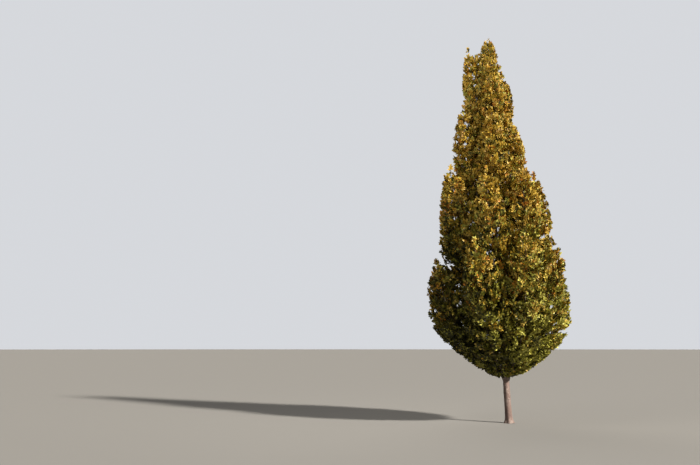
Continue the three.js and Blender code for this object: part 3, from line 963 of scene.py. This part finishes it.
# Shoots
# Each spray is a thin brown midrib with side shoots in three flat layers, as a beech holds them.
# All this wood is closed three-sided limbs that end in a point, joined into a few pieces.
SHOOTS_PER_METRE = 30
LEAST_SHOOTS = 3
FIRST_SHOOT = 0.04
LAST_SHOOT = 0.94
LAYER_TURN = 38
LAYER_STRAY = 30
SHOOT_ANGLE = 45
SHOOT_ANGLE_LOSS = 22
SHOOT_STRAY = 20
SHOOT_SHORTEST = 0.7
SHOOT_LONGEST = 1.0
MIDRIB_END = 0.9
MIDRIB_RADIUS = 0.0024
SHOOT_RADIUS = 0.0013
POINT_RADIUS = 0.0005
SHOOT_LEAST = 0.03
SHOOT_LEAST_SLOPE = 0.05
MIDRIB_TAPER = (1, 0.8, 0.6, 0.2)
TWIG_STEPS = 5
TWIG_BOW = 0.05
TWIG_COLOUR = (0.085, 0.055, 0.035)
STEEP = 0.9
# The masses of each joined piece, by their numbers in the list of masses.
PIECES = dict(
    low_1=range(0, 3),
    low_2=range(3, 6),
    low_3=range(6, 8),
    middle_1=range(8, 12),
    middle_2=range(12, 15),
    upper=range(15, 20),
    top=range(20, 25),
)


def plain_material(name, colour, roughness, gloss):
    """One even colour."""
    material = bpy.data.materials.new(name)
    material.use_nodes = True
    finish = {"Base Color": (*colour, 1), "Roughness": roughness, "Specular IOR Level": gloss}
    set_inputs(material.node_tree.nodes["Principled BSDF"], finish)
    return material


def units(vectors):
    return vectors / np.linalg.norm(vectors, axis=-1, keepdims=True)


def squared(vectors, ways):
    """Vectors made square to some unit directions, row by row."""
    return units(vectors - (vectors * ways).sum(-1, keepdims=True) * ways)


def pointed_limbs(lines, radii):
    """Three-sided limbs along lines of points, with a flat start and a pointed end."""
    count, steps, _ = lines.shape
    ways = units(np.gradient(lines, axis=1))
    guide = np.where(abs(ways[..., 2:]) < STEEP, np.array([0, 0, 1.0]), np.array([1.0, 0, 0]))
    side = squared(guide, ways)
    across = np.cross(ways, side)
    rings = []
    for angle in (90, 210, 330):
        turn = math.radians(angle)
        reach = math.cos(turn) * side + math.sin(turn) * across
        rings.append(lines[:, :-1] + reach[:, :-1] * np.asarray(radii)[:-1, None])
    corners = np.stack(rings, axis=2).reshape(count, -1, 3)
    points = np.concatenate([corners, lines[:, -1:]], axis=1)
    faces = [(2, 1, 0)]
    for i in range(steps - 2):
        for a, b in ((0, 1), (1, 2), (2, 0)):
            low_a, low_b, high_a, high_b = 3 * i + a, 3 * i + b, 3 * i + 3 + a, 3 * i + 3 + b
            faces += [(low_a, low_b, high_b), (low_a, high_b, high_a)]
    last = 3 * (steps - 2)
    faces += [(last + a, last + b, last + 3) for a, b in ((0, 1), (1, 2), (2, 0))]
    return points, np.array(faces)


def placed(name, data):
    """A new object in the scene, at the origin."""
    piece = bpy.data.objects.new(name, data)
    bpy.context.scene.collection.objects.link(piece)
    return piece


def joined_piece(name, groups):
    """One mesh of many copies. Each group has points for each copy, one list of faces and tints."""
    points = []
    faces = []
    tints = []
    total = 0
    for copies, shape, tint in groups:
        count, corners, _ = copies.shape
        firsts = total + np.arange(count) * corners
        points.append(copies.reshape(-1, 3))
        faces.append((shape[None] + firsts[:, None, None]).reshape(-1, 3))
        tints.append(np.repeat(tint, len(shape)))
        total += count * corners
    points = np.concatenate(points)
    faces = np.concatenate(faces)
    mesh = bpy.data.meshes.new(name)
    mesh.vertices.add(len(points))
    mesh.vertices.foreach_set("co", points.astype(np.float32).ravel())
    mesh.loops.add(faces.size)
    mesh.loops.foreach_set("vertex_index", faces.astype(np.int32).ravel())
    mesh.polygons.add(len(faces))
    mesh.polygons.foreach_set("loop_start", np.arange(0, faces.size, 3, dtype=np.int32))
    mesh.update(calc_edges=True)
    mesh.polygons.foreach_set("material_index", np.concatenate(tints).astype(np.int32))
    mesh.polygons.foreach_set("use_smooth", np.ones(len(faces), dtype=bool))
    return placed(name, mesh)


def shoots_of(k):
    """A mass's shoots: lines of four points, the way each faces, its spray, and which are ribs."""
    chance = np.random.default_rng(masses[k]["seed"] + 1)
    lines = []
    faces = []
    owners = []
    ribs = []
    for number, spray in enumerate(grown[k][0] + finer[k][0]):
        length = spray["length"]
        direction = spray["direction"]

        def on_midrib(shares):
            rise = (4 * SPRAY_CUP * length * shares * (1 - shares))[:, None] * spray["face"]
            return spray["root"] + (shares * length)[:, None] * direction + rise

        count = max(round(length * SHOOTS_PER_METRE), LEAST_SHOOTS)
        order = np.arange(count)
        shares = mix(FIRST_SHOOT, LAST_SHOOT, (order + chance.random(count)) / count)
        sides = np.where(order % 2 == 1, 1, -1)
        layers = LAYER_TURN * (order // 2 % 3 - 1) + LAYER_STRAY * (chance.random(count) - 0.5)
        stray = SHOOT_STRAY * (chance.random(count) - 0.5)
        angles = np.radians(SHOOT_ANGLE - SHOOT_ANGLE_LOSS * shares + stray)
        layers = np.radians(layers)
        flat = np.cos(layers)[:, None] * spray["across"] + np.sin(layers)[:, None] * spray["face"]
        ways = np.cos(angles)[:, None] * direction + (sides * np.sin(angles))[:, None] * flat
        # A shoot ends on the spray's rim, which is widest half way along.
        width = spray["width"]
        past = width * (1 - shares) / (np.sin(angles) + width * np.cos(angles))
        before = np.maximum(np.sin(angles) - width * np.cos(angles), SHOOT_LEAST_SLOPE)
        reaches = np.minimum(past, width * shares / before) * length
        reaches *= mix(SHOOT_SHORTEST, SHOOT_LONGEST, chance.random(count))
        reaches = np.maximum(reaches, SHOOT_LEAST)
        starts = on_midrib(shares)
        thirds = np.array([0, 1 / 3, 2 / 3, 1])
        lines.append(on_midrib(MIDRIB_END * thirds)[None])
        lines.append(starts[:, None] + thirds[:, None] * (reaches[:, None] * ways)[:, None])
        faces.append(spray["face"][None])
        faces.append(units(np.cross(flat, ways)) * -sides[:, None])
        owners += [number] * (count + 1)
        ribs += [True] + [False] * count
    return dict(
        lines=np.concatenate(lines),
        faces=np.concatenate(faces),
        owners=np.array(owners),
        ribs=np.array(ribs),
    )


def wood_of(k):
    """The twigs, midribs and shoots of a mass, as copies for a joined piece."""
    lines = shoots[k]["lines"]
    ribs = shoots[k]["ribs"]
    shares = np.linspace(0, 1, TWIG_STEPS)
    groups = []
    for start, end, radius, end_radius in grown[k][1] + finer[k][1]:
        bent = mix(start, end, shares[:, None])
        bent[:, 2] -= TWIG_BOW * np.linalg.norm(end - start) * 4 * shares * (1 - shares)
        groups.append(pointed_limbs(bent[None], mix(radius, end_radius, shares)))
    groups.append(pointed_limbs(lines[ribs], MIDRIB_RADIUS * np.array(MIDRIB_TAPER)))
    groups.append(pointed_limbs(lines[~ribs][:, [0, 3]], [SHOOT_RADIUS, POINT_RADIUS]))
    return [(points, faces, np.zeros(len(points))) for points, faces in groups]


shoots = [shoots_of(k) for k in range(len(masses))]
TWIG_BARK = plain_material("twig_bark", TWIG_COLOUR, roughness=0.8, gloss=0.3)
for name, members in PIECES.items():
    twigs = joined_piece("twigs_" + name, [group for k in members for group in wood_of(k)])
    twigs.data.materials.append(TWIG_BARK)
    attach(twigs, "root")
    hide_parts(*["foliage_" + masses[k]["name"] for k in members])


# Leaves
# One leaf is a waxy pointed oval about 6 cm long, folded a little along its midrib. It is modelled
# once from a circle of six points, and copied in turn to the left and right along each shoot.
LEAF_LENGTH = 0.066
LEAF_WIDTH = 0.043
LEAF_SIDES = (1 / math.cos(math.radians(30)), 0.76, 1)
LEAF_SHOULDERS = 0.74
LEAF_FOLD = 0.16
LEAF_EDGE = 0.1
LEAF_GAP = 0.0205
LEAF_FIRST = 0.6
LEAF_STRAY = 0.5
LEAF_ANGLE = 35
LEAF_STRAY_ANGLE = 34
END_LEAF_SHARE = 0.1
LEAF_TILT = 1.0
LEAF_SMALLEST = 0.75
LEAF_LARGEST = 1.12
LEAF_SPACE = dict(margin=-0.12, tip_radius=0.1, bluntness=0.3, drop=0.015)
LEAF_PAST_SKIN = 0.03
LEAF_PAST_CLEFT = 0.1
LEAF_PAST_BOX = 0.03
LEAF_OFF_LIMB = 0.005
LEAF_ROUGHNESS = 0.45
LEAF_GLOSS = 0.25
# Linear colours of the tints, from deep olive painted shade to orange autumn ones.
LEAF_TINTS = dict(
    shade=(0.045, 0.046, 0.01),
    olive=(0.15, 0.13, 0.018),
    green=(0.26, 0.25, 0.036),
    lime=(0.46, 0.43, 0.085),
    straw=(0.54, 0.385, 0.08),
    gold=(0.44, 0.285, 0.032),
    brown=(0.3, 0.17, 0.024),
    orange=(0.48, 0.205, 0.028),
)
# How often a spray is dealt each tint, in that order: where it is shaded, lit, or turned by autumn.
# The shaded and lit mixes paint shade and light into the leaves' colours.
SHADED_SHARES = np.array([0.62, 0.26, 0.09, 0.01, 0.005, 0.01, 0.005, 0])
LIT_SHARES = np.array([0.06, 0.14, 0.33, 0.37, 0.07, 0.02, 0.01, 0])
TURNED_SHARES = np.array([0.02, 0.12, 0.07, 0.03, 0.23, 0.35, 0.12, 0.06])
# Autumn turns the crown from the top down, and each mass from its tip, which stands out in the
# light. The light comes from the +X side: sprays towards it, and near a mass's tip, are dealt
# lighter tints as painted light, and those away from it darker ones as painted shade.
TURNED_FROM = 1.8
TURNED_ABOVE = 5.5
LIT_REACH = 0.9
TIP_LEAD = 1.0
TIP_LEAD_POWER = 3
TINTS_EACH = 4


def select_points(piece, test):
    """Selects the points of a piece for which a test is true, in edit mode."""
    shape = bmesh.from_edit_mesh(piece.data)
    for point in shape.verts:
        point.select_set(bool(test(point.co)))
    shape.select_flush_mode()
    bmesh.update_edit_mesh(piece.data)


deselect_all()
bpy.ops.mesh.primitive_circle_add(vertices=6, radius=0.5, fill_type="NOTHING")
leaf = bpy.context.object
bpy.ops.object.mode_set(mode="EDIT")
bpy.ops.mesh.select_mode(type="VERT")
bpy.ops.mesh.select_all(action="SELECT")
bpy.ops.mesh.edge_face_add()
select_points(leaf, lambda place: abs(place.x) < LEAF_EDGE)
bpy.ops.mesh.vert_connect_path()
select_points(leaf, lambda place: abs(place.x) > LEAF_EDGE)
bpy.ops.transform.resize(value=LEAF_SIDES, center_override=(0, 0, 0))
bpy.ops.transform.translate(value=(0, 0, LEAF_FOLD * LEAF_WIDTH / LEAF_LENGTH))
select_points(leaf, lambda place: place.y > LEAF_EDGE and abs(place.x) > LEAF_EDGE)
bpy.ops.transform.resize(value=(LEAF_SHOULDERS, 1, 1), center_override=(0, 0, 0))
bpy.ops.mesh.select_all(action="SELECT")
bpy.ops.transform.translate(value=(0, 0.5, 0))
bpy.ops.transform.resize(value=(LEAF_WIDTH, LEAF_LENGTH, LEAF_LENGTH), center_override=(0, 0, 0))
bpy.ops.mesh.quads_convert_to_tris(ngon_method="BEAUTY")
bpy.ops.object.mode_set(mode="OBJECT")
leaf_points = np.array([vertex.co for vertex in leaf.data.vertices])
leaf_faces = np.array([face.vertices for face in leaf.data.polygons])
bpy.data.objects.remove(leaf)


def leaves_of(k, chance):
    """The leaves of a mass: points for each, and the shoot that it grows on."""
    lines = shoots[k]["lines"]
    lengths = np.linalg.norm(np.diff(lines, axis=1), axis=2).sum(1)
    counts = np.ceil(lengths / LEAF_GAP).astype(int) + 1
    shoot = np.repeat(np.arange(len(lines)), counts)
    order = np.arange(counts.sum()) - np.repeat(counts.cumsum() - counts, counts)
    last = order == counts[shoot] - 1
    share = (order + LEAF_FIRST + LEAF_STRAY * chance.random(len(order))) / counts[shoot]
    share = np.where(last, 1, np.minimum(share, 1))
    piece = np.minimum((share * 3).astype(int), 2)
    part = (share * 3 - piece)[:, None]
    roots = mix(lines[shoot, piece], lines[shoot, piece + 1], part)
    ways = units(lines[shoot, piece + 1] - lines[shoot, piece])
    normals = squared(shoots[k]["faces"][shoot], ways)
    beside = np.cross(normals, ways)
    angle = np.radians(LEAF_ANGLE + LEAF_STRAY_ANGLE * (chance.random(len(order)) - 0.5))
    angle = np.where(last, END_LEAF_SHARE * angle, angle) * np.where(order % 2 == 1, 1, -1)
    along = np.cos(angle)[:, None] * ways + np.sin(angle)[:, None] * beside
    up = squared(normals + LEAF_TILT * chance.standard_normal((len(order), 3)), along)
    size = mix(LEAF_SMALLEST, LEAF_LARGEST, chance.random(len(order)))
    frames = np.stack([np.cross(along, up), along, up], axis=1) * size[:, None, None]
    points = roots[:, None] + np.einsum("ij,njk->nik", leaf_points, frames)
    middles = points.mean(axis=1)
    skin = SKINS[masses[k]["ring"]] + LEAF_PAST_SKIN
    cleft = cleft_of(masses[k]) + LEAF_PAST_CLEFT
    kept = in_space(k, middles, skin=skin, cleft=cleft, **LEAF_SPACE)
    lowest, highest = np.array(cad_box)
    kept &= (middles > lowest - LEAF_PAST_BOX).all(1) & (middles < highest + LEAF_PAST_BOX).all(1)
    gaps = (middles**2).sum(1)[:, None] + (limb_points**2).sum(1) - 2 * middles @ limb_points.T
    kept &= (gaps > (limb_radii + LEAF_OFF_LIMB + LEAF_LENGTH / 2) ** 2).all(1)
    return points[kept], shoot[kept]


def dealt_tints(k, owners, chance):
    """A tint for each leaf of a mass, from the few that its spray was dealt."""
    sprays = grown[k][0] + finer[k][0]
    tints = np.empty((TINTS_EACH, len(sprays)), int)
    foot, _, tip = masses[k]["stem"]
    for number, spray in enumerate(sprays):
        height = spray["front"][2]
        reach = spray["front"][0] - trunk_centre(height)[0]
        along = np.interp(height, (foot[2], tip[2]), (0, 1))
        lead = TIP_LEAD * along**TIP_LEAD_POWER
        # Painted light and shade: lighter tints towards the light and at the tips, darker ones away
        # from it.
        lit = np.interp(reach + lead, (-LIT_REACH, LIT_REACH), (0, 1))
        autumn = np.interp(height + lead, (TURNED_FROM, TURNED_ABOVE), (0, 1))
        shares = mix(mix(SHADED_SHARES, LIT_SHARES, lit), TURNED_SHARES, autumn)
        tints[:, number] = chance.choice(len(shares), size=TINTS_EACH, p=shares / shares.sum())
    return tints[chance.integers(TINTS_EACH, size=len(owners)), owners]


tint_materials = [
    plain_material("leaf_" + name, colour, LEAF_ROUGHNESS, LEAF_GLOSS)
    for name, colour in LEAF_TINTS.items()
]
for name, members in PIECES.items():
    groups = []
    for k in members:
        chance = np.random.default_rng(masses[k]["seed"] + 2)
        copies, shoot = leaves_of(k, chance)
        groups.append((copies, leaf_faces, dealt_tints(k, shoots[k]["owners"][shoot], chance)))
    leaves = joined_piece("leaves_" + name, groups)
    for material in tint_materials:
        leaves.data.materials.append(material)
    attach(leaves, "root")
    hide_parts(*["foliage_" + masses[k]["name"] for k in members])


# Floor, light and camera
# A plain pale floor and a plain pale sky. One strong light comes from the right, a soft one from
# the upper left and a weak one from behind. The camera stands at eye height, at the photo's angle.
FLOOR_RADIUS = 600
FLOOR_COLOUR = (0.25, 0.247, 0.242)
SKY_COLOUR = (0.84, 0.86, 0.9)
SKY_STRENGTH = 0.15
SKY_SEEN = 0.8
LIGHT_COLOUR = (1.0, 0.93, 0.82)
# Far lights: strength, softness, height and bearing in degrees, counted from the front towards +X.
SUNS = dict(key=(7.6, 5, 30, 65), back=(1.5, 60, 35, 195))
FILL_POWER = 190
FILL_SIZE = 3
FILL_PLACE = (-3.2, -4.4, 8.8)
FILL_AIM = (-0.3, 0, 6.8)
CAMERA_PLACE = (0, -16.8147, 1.6)
CAMERA_PITCH = 8.702
CAMERA_YAW = 11.664
FOCAL_LENGTH = 38.571

deselect_all()
bpy.ops.mesh.primitive_circle_add(vertices=96, radius=FLOOR_RADIUS, fill_type="NGON")
floor = bpy.context.object
floor.name = "floor"
floor.data.materials.append(plain_material("floor", FLOOR_COLOUR, roughness=1, gloss=0))

world = bpy.data.worlds.new("sky")
bpy.context.scene.world = world
world.use_nodes = True
seen = add_node(world.node_tree, "ShaderNodeLightPath", (-3, 0)).outputs["Is Camera Ray"]
levels = {"Value": seen, "To Min": SKY_STRENGTH, "To Max": SKY_SEEN}
strength = add_node(world.node_tree, "ShaderNodeMapRange", (-2, 0), levels).outputs[0]
sky = {"Color": (*SKY_COLOUR, 1), "Strength": strength}
set_inputs(world.node_tree.nodes["Background"], sky)


def add_light(name, kind, strength):
    light = placed(name, bpy.data.lights.new(name, kind))
    light.data.energy = strength
    light.data.color = LIGHT_COLOUR
    return light


for name, (strength, softness, height, bearing) in SUNS.items():
    sun = add_light(name, "SUN", strength)
    sun.data.angle = math.radians(softness)
    sun.rotation_euler = (math.radians(90 - height), 0, math.radians(bearing))
fill = add_light("fill", "AREA", FILL_POWER)
fill.data.size = FILL_SIZE
fill.location = FILL_PLACE
fill.rotation_euler = (Vector(FILL_AIM) - Vector(FILL_PLACE)).to_track_quat("-Z", "Y").to_euler()
fill.visible_camera = False

camera = placed("camera", bpy.data.cameras.new("camera"))
camera.data.lens = FOCAL_LENGTH
camera.data.sensor_width = 36
camera.data.clip_end = 1000
camera.location = CAMERA_PLACE
camera.rotation_euler = (math.radians(90 + CAMERA_PITCH), 0, math.radians(CAMERA_YAW))
bpy.context.scene.camera = camera
bpy.context.scene.view_settings.view_transform = "Standard"
bpy.context.view_layer.update()
